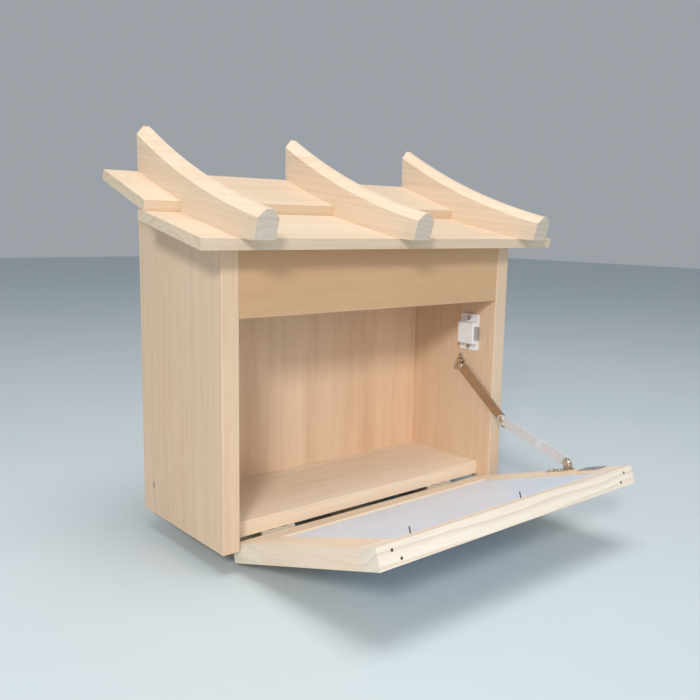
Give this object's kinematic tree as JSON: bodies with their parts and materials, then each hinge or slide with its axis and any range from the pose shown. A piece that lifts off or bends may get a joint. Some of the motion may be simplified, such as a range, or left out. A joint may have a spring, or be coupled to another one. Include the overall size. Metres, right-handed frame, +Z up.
{
  "type": "roofed wooden cabinet with drop-down door",
  "caption": "Small wooden box cabinet with a lapped pent roof and curved battens, and a framed frosted door that drops forward on hinges and a folding stay.",
  "frame": {"origin": "on the surface that the cabinet stands on, under the middle of its carcass: midway between the outer faces of the side boards and midway between their front and rear edges", "axes": "+X to the cabinet's right as seen from the door side, +Y to the back, +Z up; the door is stored open, lying forward on its stay"},
  "size_m": [0.452, 0.3469, 0.4114],
  "materials": {
    "carcass_wood": "bare planed softwood, warm cream",
    "roof_wood": "bare planed softwood, cream, long grain along the boards",
    "door_wood": "bare planed softwood, pale cream with long dark grain lines",
    "dowel_wood": "bare beech",
    "frosted_panel": "frosted, bluish white",
    "steel_fastening": "bright zinc plate",
    "hinge_steel": "nickel plate",
    "stay_steel": "polished nickel plate",
    "catch_plastic": "white moulded plastic, slightly glossy",
    "catch_steel": "bright zinc plate",
    "magnet": "dark ferrite"
  },
  "bodies": {
    "box": {"side_board_left": "carcass_wood", "side_board_right": "carcass_wood", "floor_board": "carcass_wood", "header_board": "carcass_wood", "back_board": "carcass_wood", "base_runner_left": "carcass_wood", "base_runner_middle": "carcass_wood", "base_runner_right": "carcass_wood", "roof_board_front": "roof_wood", "roof_board_rear": "roof_wood", "roof_batten_left": "roof_wood", "roof_batten_middle": "roof_wood", "roof_batten_right": "roof_wood", "floor_dowels": "dowel_wood", "header_dowels": "dowel_wood", "back_dowels": "dowel_wood", "roof_board_nails": "steel_fastening", "roof_batten_screws": "steel_fastening", "base_runner_screws": "steel_fastening", "hinge_box_screws": "steel_fastening", "catch_screws": "steel_fastening", "stay_wall_screws": "steel_fastening", "hinge_left_box_leaf": "hinge_steel", "hinge_right_box_leaf": "hinge_steel", "hinge_left_pin": "hinge_steel", "hinge_right_pin": "hinge_steel", "stay_wall_bracket": "stay_steel", "stay_wall_rivet": "stay_steel", "catch_plate": "catch_plastic", "catch_housing": "catch_plastic", "catch_pole_plates": "catch_steel", "catch_magnet": "magnet"},
    "door": {"door_stile_left": "door_wood", "door_stile_right": "door_wood", "door_hinge_rail": "door_wood", "door_top_rail": "door_wood", "door_frame_dowels": "dowel_wood", "door_frame_nails": "steel_fastening", "door_panel": "frosted_panel", "door_panel_brads": "steel_fastening", "hinge_left_door_leaf": "hinge_steel", "hinge_right_door_leaf": "hinge_steel", "hinge_door_screws": "steel_fastening", "stay_door_bracket": "stay_steel", "stay_door_screws": "steel_fastening", "stay_door_rivet": "stay_steel", "strike_plate": "catch_steel", "strike_screw": "steel_fastening"},
    "stay_upper": {"stay_upper_arm": "stay_steel", "stay_elbow_rivet_tail": "stay_steel"},
    "stay_lower": {"stay_lower_arm": "stay_steel", "stay_elbow_rivet_head": "stay_steel"}
  },
  "joints": [
    {"name": "door_hinge", "type": "hinge", "parent": "box", "child": "door", "pos_m": [0, -0.0605, 0.0234], "axis": [-1, 0, 0], "range_deg": [0, 72.5]},
    {"name": "stay_upper_pivot", "type": "hinge", "parent": "box", "child": "stay_upper", "pos_m": [0.1686, -0.0325, 0.154], "axis": [1, 0, 0], "range_deg": [0, 51.5]},
    {"name": "stay_lower_pivot", "type": "hinge", "parent": "door", "child": "stay_lower", "pos_m": [0.1688, -0.19058, 0.07175], "axis": [-1, 0, 0], "range_deg": [0, 22.8]}
  ],
  "couplings": [
    {"joint": "stay_upper_pivot", "follows": "door_hinge", "ratio": 0.71034},
    {"joint": "stay_lower_pivot", "follows": "door_hinge", "ratio": 0.3137}
  ]
}
